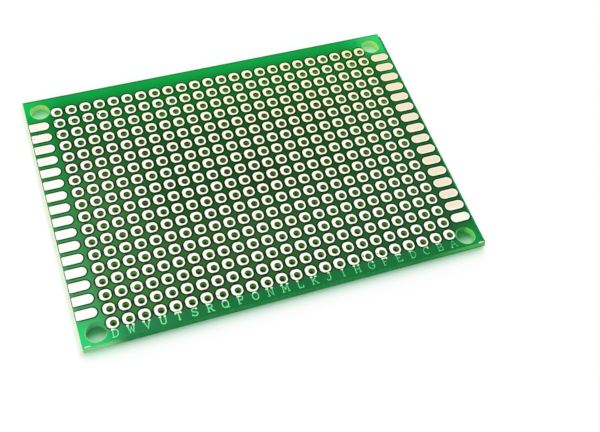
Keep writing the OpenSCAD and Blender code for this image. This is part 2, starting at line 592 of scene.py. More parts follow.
@dataclass(frozen=True)
class UpperMask:
    """Glossy green mask, painted dark over the pads' field and bright where light comes through."""

    board: Board
    # From deep to the corners: painted shade where copper blocks light through the board, painted
    # light where it comes through
    deep: Colour = tone(21, 84, 27)
    brown: Colour = tone(36, 64, 30)
    brown_place: tuple[float, float] = (2.5, -1.2)
    far_rows: Colour = tone(4, 119, 30)
    right_rows: Colour = tone(25, 96, 38)
    near_rows: Colour = tone(50, 102, 48)
    near_rows_right: Colour = tone(35, 95, 44)
    left_rows: Colour = tone(62, 133, 63)
    far_margin: Colour = tone(2, 168, 70)
    near_margin: Colour = tone(24, 118, 61)
    near_margin_left: Colour = tone(42, 138, 84)
    left_top: Colour = tone(10, 138, 56)
    left_low: Colour = tone(72, 158, 98)
    right_top: Colour = tone(28, 152, 70)
    right_low: Colour = tone(29, 97, 54)
    corners: tuple[tuple[int, int, Colour, float], ...] = (
        # Side along X and along Y, colour, how far it reaches
        (-1, 1, tone(8, 208, 90), 7.5),
        (1, 1, tone(40, 222, 110), 9.0),
        (-1, -1, tone(46, 220, 122), 8.5),
        (1, -1, tone(8, 156, 72), 6.5),
    )
    rim: Colour = tone(8, 112, 42)
    rim_share: float = 0.85
    # Filter for the painted shade round each pad, and how wide that ring is
    ring: Colour = (0.3, 0.22, 0.15)
    ring_width: float = 0.3
    smudge: Colour = tone(0, 112, 84)
    smudge_place: tuple[float, float] = (29.25, 23.7)
    smudge_reach: Span = (0.8, 0.1)
    right_rows_x: Span = (15, 28)
    far_rows_y: Span = (9, 22)
    near_rows_x: Span = (-8, 20)
    near_rows_y: Span = (0, -14)
    near_rows_share: float = 0.95
    left_rows_x: Span = (-12, -30)
    left_rows_y: Span = (20, -2)
    brown_reach: Span = (5.5, 0.5)
    brown_share: float = 0.9
    near_margin_x: Span = (-10, -30)
    left_margin_y: Span = (21, -21)
    right_margin_y: Span = (18, 2)
    corner_full: float = 0.8
    rim_x: Span = (0.16, 0.04)
    rim_y: Span = (0.34, 0.14)

    def field(self, graph: Graph) -> Socket:
        """Gives the colour over the pads, painted darker where copper stands in the light's way."""
        x, y = graph.x, graph.y
        to_brown = graph.distance(x, y, *self.brown_place)
        near_rows = graph.blend(self.near_rows, self.near_rows_right, (x, *self.near_rows_x))
        return graph.layered(
            self.deep,
            (self.right_rows, (x, *self.right_rows_x)),
            (self.far_rows, (y, *self.far_rows_y)),
            (near_rows, (y, *self.near_rows_y, self.near_rows_share)),
            (self.left_rows, (x, *self.left_rows_x), (y, *self.left_rows_y)),
            (self.brown, (to_brown, *self.brown_reach, self.brown_share)),
        )

    def margins(self, graph: Graph, under: Paint) -> Socket:
        """Paints light on the mask past the outer pads, on all four sides.

        Args:
            graph: The material's nodes.
            under: The colour so far.

        Returns:
            The colour with its margins.
        """
        board = self.board
        x, y = graph.x, graph.y
        near = graph.blend(self.near_margin, self.near_margin_left, (x, *self.near_margin_x))
        left = graph.blend(self.left_top, self.left_low, (y, *self.left_margin_y))
        right = graph.blend(self.right_top, self.right_low, (y, *self.right_margin_y))
        return graph.layered(
            under,
            (self.far_margin, (y, board.grid_y - 0.6, board.face_y - 0.6)),
            (near, (y, -board.grid_y - 0.5, -board.grid_y - 2)),
            (left, (x, -board.grid_x - 0.4, -board.grid_x - 2.0)),
            (right, (x, board.grid_x + 1.4, board.face_x - 0.6)),
        )

    def corner_glow(self, graph: Graph, under: Paint) -> Socket:
        """Paints light on the four corners, where no copper stands in the light's way.

        Args:
            graph: The material's nodes.
            under: The colour so far.

        Returns:
            The colour with its corners.
        """
        for side_x, side_y, colour, reach in self.corners:
            corner = (side_x * self.board.face_x, side_y * self.board.face_y)
            away = graph.distance(graph.x, graph.y, *corner)
            under = graph.blend(under, colour, (away, reach, self.corner_full))
        return under

    def rings(self, graph: Graph, under: Paint) -> Socket:
        """Darkens the mask where it is thick beside each pad, and paints shade there.

        Args:
            graph: The material's nodes.
            under: The colour so far.

        Returns:
            The colour with a soft ring of painted shade round every pad.
        """
        board = self.board
        off_x, off_y = to_pad(graph, board)
        beyond_x = graph.beyond(graph.x, board.art_x, board.grid_x + board.pitch / 2)
        beyond_y = graph.beyond(graph.y, board.art_y, board.grid_y + board.pitch / 2)
        outside = graph.times(graph.math("ADD", beyond_x, beyond_y), STEEP)
        reach = graph.math("ADD", graph.span(off_x, off_y), outside)
        nearest = graph.math("SUBTRACT", reach, board.pad_r)
        for name in ("end_pads_left", "end_pads_right"):
            nearest = graph.math("MINIMUM", nearest, outside_end_pads(graph, board, name))
        # Painted shade in a soft ring round every pad
        thick = graph.rise(nearest, self.ring_width, 0.5 * self.ring_width)
        return graph.dim(thick, under, self.ring)

    def build(self) -> bpy.types.Material:
        """Builds the material."""
        graph = Graph("mask_upper")
        board = self.board
        x, y = graph.x, graph.y
        colour = self.corner_glow(graph, self.margins(graph, self.field(graph)))
        edge = graph.math("MAXIMUM",
                          graph.rise(x, *(board.face_x - inset for inset in self.rim_x)),
                          graph.rise(y, *(board.face_y - inset for inset in self.rim_y)))
        colour = graph.layered(
            graph.mix(graph.times(edge, self.rim_share), colour, self.rim),
            (self.smudge, (graph.distance(x, y, *self.smudge_place), *self.smudge_reach, 0.4)),
            (self.deep, (graph.noise(0.08, 2.0), 0.35, 0.7, 0.12)),
        )
        return glossy(graph, self.rings(graph, colour), specular=0.05)


@dataclass(frozen=True)
class LowerMask:
    """Glossy green mask on the plain side, with painted light towards the board's edges."""

    board: Board
    # Painted light: deep in the middle and bright at the edges, and painted shade behind the end
    # pads
    deep: Colour = tone(26, 140, 74)
    bright: Colour = tone(26, 174, 90)
    shadowed: Colour = tone(24, 114, 60)
    shadow_share: float = 0.6
    hole_halo: Colour = tone(92, 206, 112)
    mount_halo: Colour = tone(84, 222, 140)
    glow_width: float = 6
    shadow_start: Span = (1.6, 2.4)
    shadow_end: Span = (0.0, -0.5)
    shadow_gap: Span = (0.45, 0.9)
    shadow_past: Span = (0.6, 0.0)
    field_edge: Span = (1.2, 1.1)
    hole_ring: Span = (0.34, 0.14)
    hole_share: float = 0.75
    mount_ring: Span = (0.7, 0.3)
    mount_share: float = 0.7

    def behind_end_pads(self, graph: Graph, x: Socket, y: Socket) -> Socket:
        """Gives 1 where an end pad on the other side stands in the light's way.

        Args:
            graph: The material's nodes.
            x: Distance along X from the board's middle.
            y: Distance along Y from the board's middle.

        Returns:
            A share from 0 to 1.
        """
        board = self.board
        return graph.together(
            (x, *past(board.grid_x, self.shadow_start)),
            (x, *past(board.face_x, self.shadow_end)),
            (graph.to_nearest(graph.y, board.art_y, board.pitch), *self.shadow_gap),
            (y, *past(board.grid_y, self.shadow_past)),
        )

    def halos(self, graph: Graph, under: Paint) -> Socket:
        """Lightens the mask in a ring round each hole.

        Args:
            graph: The material's nodes.
            under: The colour so far.

        Returns:
            The colour with a pale ring round every hole.
        """
        board = self.board
        off_x, off_y = from_middle(graph, board)
        in_field = graph.together((off_x, *past(board.grid_x, self.field_edge)),
                                  (off_y, *past(board.grid_y, self.field_edge)))
        to_hole = graph.span(*to_pad(graph, board, board.drill_x, board.drill_y))
        ring = graph.rise(to_hole, *past(board.drill_r, self.hole_ring), self.hole_share)
        colour = graph.mix(graph.times(in_field, ring), under, self.hole_halo)
        to_mount = graph.distance(off_x, off_y, board.mount_x, board.mount_y)
        rim = (to_mount, *past(board.mount_r, self.mount_ring), self.mount_share)
        return graph.blend(colour, self.mount_halo, rim)

    def build(self) -> bpy.types.Material:
        """Builds the material."""
        graph = Graph("mask_lower")
        board = self.board
        x, y = graph.math("ABSOLUTE", graph.x), graph.math("ABSOLUTE", graph.y)
        # Painted light, brighter towards the board's edges
        edge = graph.math("MAXIMUM",
                          graph.rise(x, board.grid_x - self.glow_width, board.face_x),
                          graph.rise(y, board.grid_y - self.glow_width, board.face_y))
        colour = graph.mix(edge, self.deep, self.bright)
        behind = graph.times(self.behind_end_pads(graph, x, y), self.shadow_share)
        colour = graph.mix(behind, colour, self.shadowed)
        colour = graph.blend(colour, self.shadowed, (graph.noise(0.12, 2.0), 0.3, 0.7, 0.2))
        return glossy(graph, self.halos(graph, colour), specular=0.2)


@dataclass(frozen=True)
class Laminate:
    """Bare glass-epoxy: its painted colour follows how much light reaches each cut face."""

    board: Board
    # Painted light in the drilled holes' walls, changing by place, and painted shade at their mouth
    # and foot
    hole_wall: Colour = tone(171, 212, 108)
    hole_wall_far: Colour = tone(158, 240, 107)
    hole_wall_near: Colour = tone(168, 226, 102)
    hole_wall_left: Colour = tone(186, 242, 112)
    hole_wall_right: Colour = tone(206, 255, 162)
    hole_shade: Colour = (0.1, 0.16, 0.08)
    # Painted shade in the bare trench round each pad
    trench: Colour = tone(2, 26, 5)
    # Painted light and shade on the mounting holes' walls, and painted shade along the far ones'
    # tops
    mount_far: Colour = tone(204, 255, 160)
    mount_near_left: Colour = tone(134, 212, 156)
    mount_near_right: Colour = tone(104, 194, 104)
    mount_east: Colour = tone(160, 250, 140)
    mount_shade: Colour = (0.55, 0.6, 0.42)
    # Painted shade across the bare ring round each mounting hole
    ring_near: Colour = tone(160, 255, 168)
    ring_far: Colour = tone(20, 160, 76)
    under_ring: Colour = tone(120, 214, 132)
    left_edge: Colour = tone(250, 255, 236)
    # Painted shade and light on the near side, down to near_low
    near_edge: Colour = tone(22, 136, 68)
    near_left_top: Colour = tone(80, 226, 132)
    near_left: Colour = tone(144, 222, 152)
    near_right: Colour = tone(78, 190, 94)
    near_low: Colour = tone(96, 236, 150)
    chipped: Colour = tone(108, 190, 108)
    # Painted shade at the top of the far and right-hand sides, and painted light towards the near
    # right
    hidden_edge: Colour = tone(4, 150, 78)
    right_near: Colour = tone(70, 206, 120)
    pale_edge: Colour = tone(122, 222, 158)
    plies: Colour = tone(210, 236, 176)
    ring_slant: float = 0.6
    ring_reach: Span = (0.0, 1.2)
    corner_z: Span = (1.52, 1.15)
    near_right_x: Span = (-12, -1)
    near_low_z: Span = (0.6, 0.1)
    chipped_x: Span = (-0.8, -0.4)
    right_near_y: Span = (-6, -14)
    pale_z: Span = (1.12, 1.04)
    side_edge: Span = (0.06, 0.02)
    wall_far_y: Span = (9, 19)
    wall_near_y: Span = (-4, -12)
    wall_left_x: Span = (-18, -25)
    wall_left_y: Span = (9, 4)
    wall_right_x: Span = (12, 30)
    wall_right_y: Span = (-24, 14)
    mouth_z: Span = (-0.5, -0.24)
    foot_z: Span = (0.6, 0.3)
    mount_right_x: Span = (-10, 10)
    mount_east_x: Span = (0.5, 1.2)
    mount_near_y: Span = (5, -5)
    mount_rim_z: float = 0.3

    def edges(self, graph: Graph) -> Socket:
        """Gives the scored and snapped sides' colour, with painted shade and light on all but the
        left.
        """
        x, y, z = graph.x, graph.y, graph.z
        left, right, near = -self.board.face_x, self.board.face_x, -self.board.face_y
        corner = graph.blend(self.near_left_top, self.near_left, (z, *self.corner_z))
        near_side = graph.layered(
            self.near_edge,
            (corner, (x, *past(left, PALE_CORNER))),
            (self.near_right, (x, *past(right, self.near_right_x))),
            (self.near_low, (z, *self.near_low_z, 0.4)),
            (self.chipped, (x, *past(right, self.chipped_x), 0.7)),
        )
        hidden = graph.layered(
            self.hidden_edge,
            (self.right_near, (y, *self.right_near_y)),
            (self.pale_edge, (z, *self.pale_z)),
        )
        is_left = graph.rise(x, *past(left, self.side_edge))
        colour = graph.blend(hidden, near_side, (y, *past(near, self.side_edge)))
        colour = graph.mix(is_left, colour, self.left_edge)
        shows = graph.rise(graph.noise(1.0, 4.0, (2.5, 2.5, 14)), 0.35, 0.75)
        most = graph.mix(is_left, (0.08,) * 3, (0.3,) * 3)
        return graph.mix(graph.times(shows, most), colour, self.plies)

    def hole_walls(self, graph: Graph) -> Socket:
        """Gives the drilled holes' colour: painted glow between a mouth and a foot in painted shade.
        """
        x, y, z = graph.x, graph.y, graph.z
        top = self.board.laminate_high
        wall = graph.layered(
            self.hole_wall,
            (self.hole_wall_far, (y, *self.wall_far_y)),
            (self.hole_wall_near, (y, *self.wall_near_y)),
            (self.hole_wall_left, (x, *self.wall_left_x), (y, *self.wall_left_y)),
            (self.hole_wall_right, (x, *self.wall_right_x), (y, *self.wall_right_y)),
        )
        mouth = graph.times(graph.rise(z, *past(top, self.mouth_z)),
                            graph.math("ADD", graph.rise(y, -16, 2, 0.25), 0.7))
        foot = graph.times(graph.rise(z, *self.foot_z),
                           graph.math("ADD", graph.rise(y, 16, -2, 0.45), 0.35))
        return graph.dim(foot, graph.dim(mouth, wall, self.hole_shade), self.hole_shade)

    def mount_walls(self, graph: Graph) -> Socket:
        """Gives the colour of the mounting holes' walls, with painted light and shade."""
        x, y, z = graph.x, graph.y, graph.z
        board = self.board
        near = graph.layered(
            self.mount_near_left,
            (self.mount_near_right, (x, *self.mount_right_x)),
            (self.mount_east, (x, *past(board.mount_x, self.mount_east_x))),
        )
        wall = graph.blend(self.mount_far, near, (y, *self.mount_near_y))
        rim = graph.together((z, board.laminate_high - self.mount_rim_z, board.laminate_high),
                             (y, *reversed(self.mount_near_y)))
        return graph.dim(rim, wall, self.mount_shade)

    def mount_ring(self, graph: Graph, off_x: Socket, off_y: Socket) -> Socket:
        """Gives the colour of the bare ring round a mounting hole.

        Args:
            graph: The material's nodes.
            off_x: Distance along X from the artwork's middle.
            off_y: Distance along Y from the artwork's middle.

        Returns:
            The colour, with painted shade that darkens from each hole's middle towards the far
            right-hand side.
        """
        board = self.board
        offsets = (
            graph.math("MULTIPLY", graph.math("SUBTRACT", off, mount),
                       graph.math("SIGN", graph.math("SUBTRACT", place, middle)))
            for off, mount, place, middle in (
                (off_y, board.mount_y, graph.y, board.art_y),
                (off_x, board.mount_x, graph.x, board.art_x),
            )
        )
        up, right = offsets
        away = graph.math("ADD", up, graph.times(right, self.ring_slant))
        return graph.blend(self.ring_near, self.ring_far, (away, *self.ring_reach))

    def build(self) -> bpy.types.Material:
        """Builds the material."""
        graph = Graph("glass_epoxy")
        board = self.board
        off_x, off_y = from_middle(graph, board)
        to_mount = graph.distance(off_x, off_y, board.mount_x, board.mount_y)
        is_mount = graph.rise(to_mount, board.mount_r + 0.4, board.mount_r + 0.3)
        walls = graph.mix(is_mount, self.hole_walls(graph), self.mount_walls(graph))
        # The trench round each pad is painted dark with shade, the mounting holes' ring with painted
        # shade
        top = graph.mix(is_mount, self.trench, self.mount_ring(graph, off_x, off_y))
        faces = graph.layered(
            walls,
            (top, (graph.z, board.laminate_high - 0.004, board.laminate_high - 0.001)),
            (self.under_ring, (graph.z, board.laminate_low + 0.004, board.laminate_low + 0.001)),
        )
        beyond = [graph.rise(graph.math("ABSOLUTE", place), face - 0.01, face + 0.01)
                  for place, face in ((graph.x, board.face_x), (graph.y, board.face_y))]
        colour = graph.mix(graph.math("MAXIMUM", *beyond), faces, self.edges(graph))
        graph.surface(colour, graph.rise(graph.noise(6), 0.1, 0.6, 0.75), specular=0.0)
        graph.bump(graph.noise(4.0, 4.0, (1, 1, 4)), 0.03)
        return graph.material


@dataclass(frozen=True)
class Tin:
    """Levelled solder: bright metal with a painted warm reflection, yellower towards the far
    right-hand corner.

    It is painted darker with green shade where it runs down to its rim, and on round pads
    also at the edge towards each next pad and on the lip round the hole.
    """

    name: str
    board: Board
    rim_low: float
    end_name: str = ""
    white: Colour = tone(254, 255, 252)
    # Painted warm reflection towards the far right-hand corner
    cream: Colour = tone(252, 255, 214)
    gold: Colour = tone(244, 252, 186)
    clouds: Colour = tone(244, 249, 236)
    # Painted green shade where the tin runs down to its rim
    rim_shade: Colour = tone(104, 186, 88)
    # Painted shade at a round pad's edge towards each next pad
    pad_edge_shade: Colour = tone(46, 96, 38)
    # Painted shade on the lip round the drilled hole
    lip: Colour = tone(34, 60, 14)
    # Painted warm reflection on the middle of the end pads
    reflection_left: Colour = tone(251, 246, 230)
    reflection_right: Colour = tone(243, 230, 202)
    reflection_near: Colour = tone(250, 251, 230)
    cream_x: Span = (-50, 34)
    cream_y: Span = (-26, 24)
    gold_reach: Span = (15, 3)
    reflection_left_y: Span = (20, 2)
    reflection_near_y: Span = (-16.2, -17.8)
    reflection_inset: Span = (-0.12, -0.34)
    pad_edge_span: Span = (-0.12, -0.06)
    lip_edge: Span = (0.09, 0.04)
    lip_shift: float = 0.03
    rim_shade_z: Span = (0.01, 0.002)

    def pad_edge_shading(self, graph: Graph) -> Socket:
        """Gives 1 at a round pad's edge towards each next pad, where shade is painted."""
        nearest = graph.math("MAXIMUM", *to_pad(graph, self.board))
        return graph.rise(nearest, *past(self.board.pad_r, self.pad_edge_span))

    def hole_lip(self, graph: Graph) -> Socket:
        """Gives 1 on the hole's narrow lip of painted shade, widest on its near left side."""
        board = self.board
        right, up = board.drill_x - self.lip_shift, board.drill_y - self.lip_shift
        to_hole = graph.span(*to_pad(graph, board, right, up))
        return graph.rise(to_hole, *past(board.drill_r, self.lip_edge))

    def end_pad_reflection(self, graph: Graph, under: Paint, blotch: Socket) -> Socket:
        """Paints a warm reflection on the middle of the end pads.

        Args:
            graph: The material's nodes.
            under: The colour so far.
            blotch: Soft noise that breaks up the reflected part.

        Returns:
            The colour with its painted reflection.
        """
        x, y = graph.x, graph.y
        left = graph.blend(self.reflection_left, self.white, (y, *self.reflection_left_y))
        right = graph.blend(self.reflection_right, self.reflection_near, (y, *self.reflection_near_y))
        colour = graph.blend(left, right, (x, -1, 1))
        outside = outside_end_pads(graph, self.board, self.end_name)
        return graph.blend(under, colour, (outside, *self.reflection_inset), (blotch, 0.2, 0.36))

    def build(self) -> bpy.types.Material:
        """Builds the material."""
        graph = Graph(self.name)
        board = self.board
        x, y = graph.x, graph.y
        blotch = graph.noise(0.9, 2.0)
        # Painted warm reflection, yellower towards the far right-hand corner
        colour = graph.layered(
            self.white,
            (self.cream, (x, *self.cream_x), (y, *self.cream_y)),
            (self.gold, (graph.distance(x, y, board.face_x, board.face_y), *self.gold_reach)),
        )
        colour = graph.dim(graph.rise(blotch, 0.45, 0.75), colour, self.clouds)
        if self.end_name:
            colour = self.end_pad_reflection(graph, colour, blotch)
        # Painted green shade where the tin runs down to its rim
        colour = graph.blend(colour, self.rim_shade, (graph.z, *past(self.rim_low, self.rim_shade_z)))
        if not self.end_name:
            # Painted shade at the pad's edge towards each next pad and on the lip round its hole
            colour = graph.mix(self.pad_edge_shading(graph), colour, self.pad_edge_shade)
            colour = graph.mix(self.hole_lip(graph), colour, self.lip)
        graph.surface(colour, graph.rise(graph.noise(2.0), 0.2, 0.8, 0.5), metallic=1.0)
        graph.bump(graph.noise(1.6, 2.0), 0.02, 0.6)
        return graph.material


@dataclass(frozen=True)
class Plain:
    """A finish with one main colour, cloudy patches of a second and fine relief."""

    name: str
    main: Colour
    patches: Colour
    roughness: float = 0.5
    specular: float = 0.3
    per_mm: float = 2.0
    relief: float = 0.01
    metallic: float = 0.0

    def build(self) -> bpy.types.Material:
        """Builds the material."""
        graph = Graph(self.name)
        colour = graph.mix(graph.rise(graph.noise(self.per_mm), 0.35, 0.7), self.main, self.patches)
        graph.surface(colour, self.roughness, self.metallic, self.specular)
        graph.bump(graph.noise(3 * self.per_mm, 4.0), self.relief)
        return graph.material


# ---------------------------------------------------------------------------------------------
# Letters
# ---------------------------------------------------------------------------------------------


def line(*points: tuple[float, float]) -> np.ndarray:
    """Gives a stroke through points, in a cell whose capitals are 1 high."""
    return np.array(points, float)


def stem(x: float) -> np.ndarray:
    """Gives an upright stroke, as high as a capital."""
    return line((x, 0), (x, 1))


def crossbar(y: float, start: float, end: float) -> np.ndarray:
    """Gives a level stroke."""
    return line((start, y), (end, y))


def bow(x: float, y: float, across: float, high: float, start: float, end: float) -> np.ndarray:
    """Gives part of an ellipse as a stroke.

    The points are centre + (across cos a, high sin a), with a from start to end degrees.

    Args:
        x: The centre's place.
        y: The centre's height.
        across: Half the ellipse's width.
        high: Half its height.
        start: First angle.
        end: Last angle.

    Returns:
        The stroke's points, about one every 18 degrees.
    """
    steps = max(3, round(abs(end - start) / 18)) + 1
    angle = np.radians(np.linspace(start, end, steps))
    return np.column_stack([x + across * np.cos(angle), y + high * np.sin(angle)])


def run(*strokes: np.ndarray) -> np.ndarray:
    """Joins strokes into one, end to end."""
    return np.vstack(strokes)


@dataclass(frozen=True)
class Glyph:
    """One capital: its strokes, those of them along its top, and where its serifs are.

    A serif is a short bar across a stroke's end, given by its middle. The weight is how much
    wider than the others' this letter's strokes are.
    """

    strokes: tuple[np.ndarray, ...]
    tops: tuple[np.ndarray, ...] = ()
    feet: tuple[tuple[float, float], ...] = ()
    caps: tuple[tuple[float, float], ...] = ()
    weight: float = 1.0


# The round of an O, but for its top
RING = run(bow(0.4, 0.5, 0.38, 0.5, 130, 360), bow(0.4, 0.5, 0.38, 0.5, 18, 50))
RING_TOP = bow(0.4, 0.5, 0.38, 0.5, 50, 130)

GLYPHS: dict[str, Glyph] = {
    "A": Glyph((line((0.02, 0), (0.4, 1), (0.78, 0)), crossbar(0.34, 0.15, 0.65)),
               feet=((0.02, 0), (0.78, 0))),
    "B": Glyph((stem(0.14),
                run(line((0.45, 1)), bow(0.45, 0.76, 0.25, 0.24, 80, -90), line((0.14, 0.52))),
                run(line((0.45, 0.52)), bow(0.48, 0.26, 0.28, 0.26, 80, -90), line((0.14, 0)))),
               tops=(crossbar(1, 0.02, 0.5),), feet=((0.1, 0),)),
    "C": Glyph((bow(0.42, 0.5, 0.4, 0.5, 55, 310),), tops=(line((0.72, 1.04), (0.72, 0.72)),)),
    "D": Glyph((stem(0.14),
                run(bow(0.33, 0.5, 0.42, 0.5, 84, -90), line((0.14, 0)))),
               tops=(crossbar(1, 0.02, 0.4),), feet=((0.1, 0),)),
    "E": Glyph((stem(0.14), crossbar(0.52, 0.14, 0.52),
                line((0.14, 0), (0.74, 0), (0.74, 0.2))),
               tops=(line((0.02, 1), (0.7, 1), (0.7, 0.82)),)),
    "F": Glyph((stem(0.16), crossbar(0.52, 0.16, 0.54)),
               tops=(line((0.02, 1), (0.74, 1), (0.74, 0.8)),), feet=((0.2, 0),)),
    "G": Glyph((bow(0.42, 0.5, 0.4, 0.5, 55, 330), crossbar(0.42, 0.52, 0.9),
                line((0.76, 0.42), (0.76, 0.08))),
               tops=(line((0.74, 1.04), (0.74, 0.74)),)),
    "H": Glyph((stem(0.12), stem(0.68),
                crossbar(0.5, 0.12, 0.68)),
               feet=((0.12, 0), (0.68, 0)), caps=((0.12, 1), (0.68, 1))),
    "I": Glyph((stem(0.4),), feet=((0.4, 0),), caps=((0.4, 1),)),
    "J": Glyph((run(line((0.58, 1), (0.58, 0.3)), bow(0.32, 0.28, 0.26, 0.28, -15, -170)),),
               caps=((0.52, 1),)),
    "K": Glyph((stem(0.14), line((0.7, 1), (0.16, 0.4)),
                line((0.34, 0.58), (0.76, 0))),
               feet=((0.14, 0), (0.74, 0)), caps=((0.14, 1), (0.68, 1))),
    "L": Glyph((line((0.2, 1), (0.2, 0), (0.76, 0), (0.76, 0.28)),), caps=((0.2, 1),)),
    "M": Glyph((line((0.08, 0), (0.08, 1), (0.42, 0.3), (0.76, 1), (0.76, 0)),),
               feet=((0.08, 0), (0.76, 0)), caps=((0.04, 1), (0.8, 1)), weight=1.1),
    "N": Glyph((line((0.12, 0), (0.12, 1), (0.7, 0), (0.7, 1)),), feet=((0.12, 0),),
               caps=((0.08, 1), (0.7, 1))),
    "O": Glyph((RING,),
               tops=(RING_TOP,)),
    "P": Glyph((stem(0.16),
                run(bow(0.46, 0.74, 0.28, 0.26, 80, -90), line((0.16, 0.48)))),
               tops=(crossbar(1, 0.02, 0.5),), feet=((0.2, 0),)),
    "Q": Glyph((RING,
                line((0.4, 0.16), (0.84, -0.06))),
               tops=(RING_TOP,)),
    "R": Glyph((stem(0.16),
                run(bow(0.44, 0.75, 0.27, 0.25, 80, -90), line((0.16, 0.5))),
                line((0.42, 0.5), (0.74, 0))),
               tops=(crossbar(1, 0.02, 0.48),), feet=((0.16, 0), (0.76, 0))),
    "S": Glyph((run(bow(0.42, 0.75, 0.3, 0.25, 40, 270), bow(0.42, 0.25, 0.32, 0.25, 75, -150)),
                line((0.08, 0), (0.08, 0.26))),
               tops=(line((0.7, 1.02), (0.7, 0.78)),)),
    "T": Glyph((stem(0.4),),
               tops=(line((0.06, 0.8), (0.06, 1), (0.74, 1), (0.74, 0.8)),), feet=((0.4, 0),)),
    "U": Glyph((run(line((0.12, 1), (0.12, 0.32)), bow(0.41, 0.3, 0.29, 0.3, 190, 350),
                    line((0.7, 0.32), (0.7, 1))),),
               caps=((0.12, 1), (0.7, 1))),
    "V": Glyph((line((0.04, 1), (0.4, 0), (0.76, 1)),), caps=((0.06, 1), (0.74, 1))),
    "W": Glyph((line((0.02, 1), (0.2, 0), (0.4, 0.72), (0.6, 0), (0.78, 1)),),
               caps=((0.06, 1), (0.74, 1)), weight=1.15),
}

GLYPH_MIDDLE = 0.4
SERIF_HALF = 0.15
# The last one is D on both sides of the board
COLUMN_LETTERS = "ABCDEFGHIJKLMNOPQRSTUVWD"


@dataclass(frozen=True)
class Lettering:
    """How a row of capitals is drawn: their height, their stroke and the way they face."""

    height: float
    stroke: float
    low: float
    high: float
    mirrored: bool = False

    def place(self, stroke: np.ndarray, x: float, foot: float) -> np.ndarray:
        """Scales one stroke of the cell to its place, with the letter's middle at x."""
        turn = -1 if self.mirrored else 1
        return np.column_stack([
            x + turn * self.height * (stroke[:, 0] - GLYPH_MIDDLE),
            foot + self.height * stroke[:, 1],
        ])

    def bars(
        self, strokes: Iterable[np.ndarray], x: float, foot: float, weight: float = 1.0
    ) -> list[Shell]:
        """Makes a letter's strokes as rounded bars, each a hair higher than the last.

        Args:
            strokes: Strokes in the glyph's cell.
            x: Where the letter's middle goes.
            foot: Where the letters stand, along Y.
            weight: How much wider than usual the strokes are.

        Returns:
            One shell a stroke.
        """
        step = 0.0008 * math.copysign(1, self.high - self.low)
        shells = []
        for number, stroke in enumerate(strokes):
            ends = sorted((self.low, self.high + number * step))
            shells.append(swept(self.place(stroke, x, foot), ridge(weight * self.stroke, *ends)))
        return shells


def serifs(places: Iterable[tuple[float, float]]) -> list[np.ndarray]:
    """Gives the short bars at a glyph's stroke ends."""
    return [crossbar(y, x - SERIF_HALF, x + SERIF_HALF) for x, y in places]


@dataclass(frozen=True)
class LetterMask:
    """Mask over the copper letters, painted light as if lit from beneath, more so towards the left.
    """

    board: Board
    # Painted light, stronger towards the left
    left: Colour = tone(124, 248, 162)
    right: Colour = tone(60, 200, 114)
    patches: Colour = tone(150, 252, 186)

    def build(self) -> bpy.types.Material:
        """Builds the material."""
        graph = Graph("mask_over_letters")
        colour = graph.layered(
            self.left,
            (self.right, (graph.x, -self.board.grid_x, self.board.grid_x)),
            (self.patches, (graph.noise(1.2), 0.45, 0.8, 0.7)),
        )
        graph.surface(colour, 0.3, specular=0.1)
        graph.bump(graph.noise(3.6, 4.0), 0.004)
        return graph.material


@dataclass
class CopperIndex:
    """The column letters etched in the copper along the near edge.

    The mask covers their bodies, and its opening at the last row leaves their tops bare,
    so that those are tinned like the pads. Where the mask slopes down beside a letter it is
    thick, and painted dark with shade.
    """

    board: Board
    height: float = 1.32
    thinnest: float = 0.18
    widest: float = 0.24
    slope: float = 0.2
    slope_high: float = 0.002
    root: float = 0.01
    below_row: float = 1.18
    copper: float = 0.03
    tin: float = 0.012
    tin_wider: float = 1.15
    letters: str = COLUMN_LETTERS
    covered: str = "A"

    def build(self) -> None:
        """Adds the covered bodies, the mask's slopes beside them and the tinned tops."""
        board = self.board
        foot = board.row_y(board.rows - 1) - self.below_row - self.height
        top = board.mask_high
        root = top - self.root
        slopes: list[Shell] = []
        bodies: list[Shell] = []
        tops: list[Shell] = []
        for column, letter in enumerate(self.letters[: board.columns]):
            glyph = GLYPHS[letter]
            place = (board.column_x(column), foot, glyph.weight)
            stroke = float(np.interp(column, (0, board.columns - 1), (self.thinnest, self.widest)))
            tips = [*glyph.tops, *serifs(glyph.caps)]
            strokes = [*glyph.strokes, *serifs(glyph.feet)]
            slope = Lettering(self.height, stroke + self.slope, root, top + self.slope_high)
            slopes += slope.bars([*strokes, *tips], *place)
            if letter in self.covered:
                strokes += tips
                tips = []
            body = Lettering(self.height, stroke, root, top + self.copper)
            bodies += body.bars(strokes, *place)
            bare = Lettering(self.height, self.tin_wider * stroke, top - 2 * self.root,
                             top + self.copper + self.tin)
            tops += bare.bars(tips, *place)
        # The mask's slopes beside the letters are painted dark with shade
        dark = Plain("mask_beside_letters", tone(8, 84, 32), tone(14, 96, 40), 0.3, 0.05, 1.2, 0.004)
        tin = Plain("tinned_letter_tops", tone(255, 255, 246), tone(236, 254, 214),
                    0.4, 0.5, 0.7, 0.006)
        add_piece("index_letter_slopes", Shell.joined(slopes), dark.build())
        add_piece("index_letters", Shell.joined(bodies), LetterMask(board).build())
        add_piece("index_letter_tops", Shell.joined(tops), tin.build())


